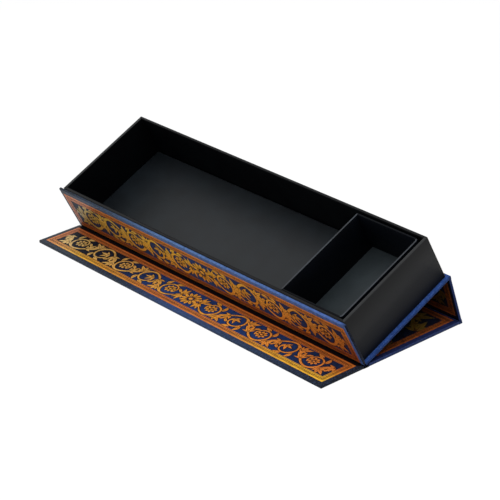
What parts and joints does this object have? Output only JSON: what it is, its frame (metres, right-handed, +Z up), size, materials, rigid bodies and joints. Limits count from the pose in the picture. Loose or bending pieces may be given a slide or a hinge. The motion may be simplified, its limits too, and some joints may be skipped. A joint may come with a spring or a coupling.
{
  "type": "fountain pen case",
  "caption": "Rigid book-style pen box with a black tray, loose divider insert and a hinged printed cover whose lid and flap fold back as a stand.",
  "frame": {"origin": "floor under the middle of the open stand", "axes": "+X along the case towards the insert's end, +Y from the flap to the spine, +Z up"},
  "size_m": [0.23, 0.093, 0.0533],
  "materials": {
    "grey_board": "matte",
    "printed_wrap": "satin",
    "black_lining": "matte",
    "hinge_paper": "satin",
    "tray_black_paper": "matte",
    "tray_grey_board": "matte",
    "stay_paper": "matte",
    "black_card": "matte",
    "magnet_nickel": "satin",
    "keeper_steel": "satin"
  },
  "bodies": {
    "tray": {"base_board": "grey_board", "base_wrap": "printed_wrap", "base_lining": "black_lining", "front_board": "grey_board", "front_wrap": "printed_wrap", "front_keepers": "keeper_steel", "tray_floor_board": "tray_grey_board", "tray_front_wall": "tray_grey_board", "tray_back_wall": "tray_grey_board", "tray_left_wall": "tray_grey_board", "tray_right_wall": "tray_grey_board", "tray_corner_stays": "stay_paper", "tray_paper": "tray_black_paper", "tray_floor_card": "black_card", "base_spine_hinge": "hinge_paper"},
    "spine": {"spine_board": "grey_board", "spine_wrap": "printed_wrap", "spine_lining": "black_lining", "spine_lid_hinge": "hinge_paper"},
    "lid": {"lid_board": "grey_board", "lid_wrap": "printed_wrap", "lid_lining": "black_lining", "lid_flap_hinge": "hinge_paper"},
    "flap": {"flap_board": "grey_board", "flap_wrap": "printed_wrap", "flap_lining": "black_lining", "flap_magnets": "magnet_nickel"},
    "insert": {"insert_band": "black_card", "insert_floor": "black_card"}
  },
  "joints": [
    {"name": "base_spine_hinge", "type": "hinge", "parent": "tray", "child": "spine", "pos_m": [0, 0.03857, 0.02829], "axis": [1, 0, 0], "range_deg": [0, 189.45], "deforming": ["base_spine_hinge"]},
    {"name": "spine_lid_hinge", "type": "hinge", "parent": "spine", "child": "lid", "pos_m": [0, 0.04615, 0.0004], "axis": [1, 0, 0], "range_deg": [0, 195.21], "deforming": ["spine_lid_hinge"]},
    {"name": "lid_flap_hinge", "type": "hinge", "parent": "lid", "child": "flap", "pos_m": [0, -0.01805, 0.0004], "axis": [1, 0, 0], "range_deg": [0, 90], "deforming": ["lid_flap_hinge"]},
    {"name": "insert_slide", "type": "slide", "parent": "tray", "child": "insert", "axis": [1, 0, 0], "range_m": [-0.1762, 0.002]}
  ]
}
